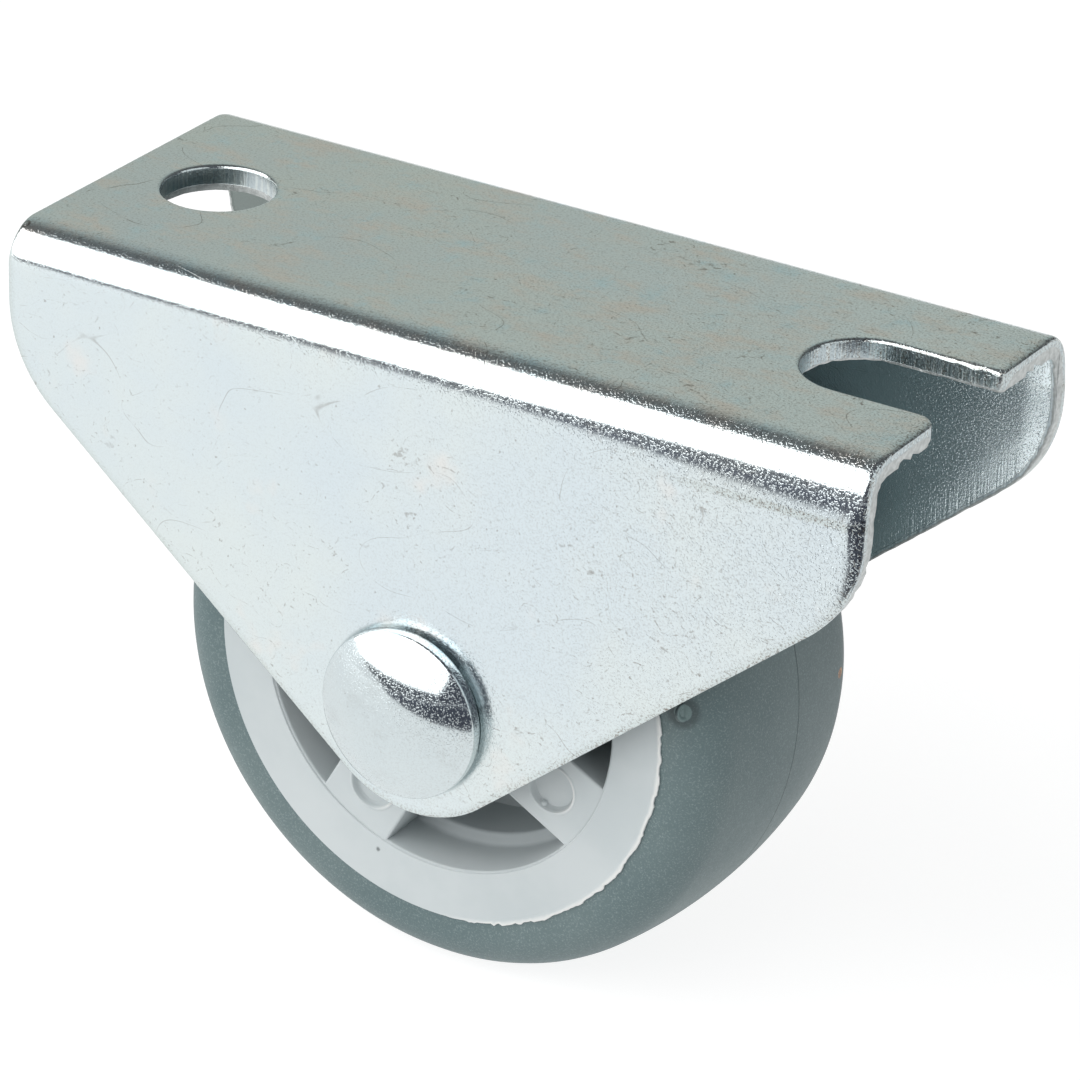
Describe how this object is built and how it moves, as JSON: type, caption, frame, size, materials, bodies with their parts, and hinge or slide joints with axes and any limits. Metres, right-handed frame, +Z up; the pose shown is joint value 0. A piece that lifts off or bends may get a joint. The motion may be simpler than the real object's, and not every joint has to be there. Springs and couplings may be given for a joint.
{
  "type": "fixed caster",
  "caption": "Fixed caster: a folded zinc-plated channel bracket with a screw hole and an open slot, a riveted axle, and a spoked plastic wheel with a soft tyre.",
  "frame": {"origin": "middle of the bracket's mounting face", "axes": "+Z up out of the mounting face, +X along the bracket towards the open slot, Y along the axle with the rivet's domed head at -Y"},
  "size_m": [0.06, 0.03, 0.0438],
  "materials": {
    "zinc_sheet": "bright zinc plate on folded steel sheet, fine grain, light scratches",
    "zinc_rivet": "bright zinc plate, glossy dome",
    "core_plastic": "matte light grey moulded plastic",
    "tyre_rubber": "satin slate-grey soft moulding"
  },
  "bodies": {
    "bracket_frame": {"bracket": "zinc_sheet", "axle_rivet": "zinc_rivet"},
    "wheel": {"wheel_core": "core_plastic", "tyre": "tyre_rubber"}
  },
  "joints": [
    {"name": "wheel_spin", "type": "hinge", "parent": "bracket_frame", "child": "wheel", "pos_m": [0, -0.0008, -0.0238], "axis": [0, 1, 0], "continuous": true}
  ]
}
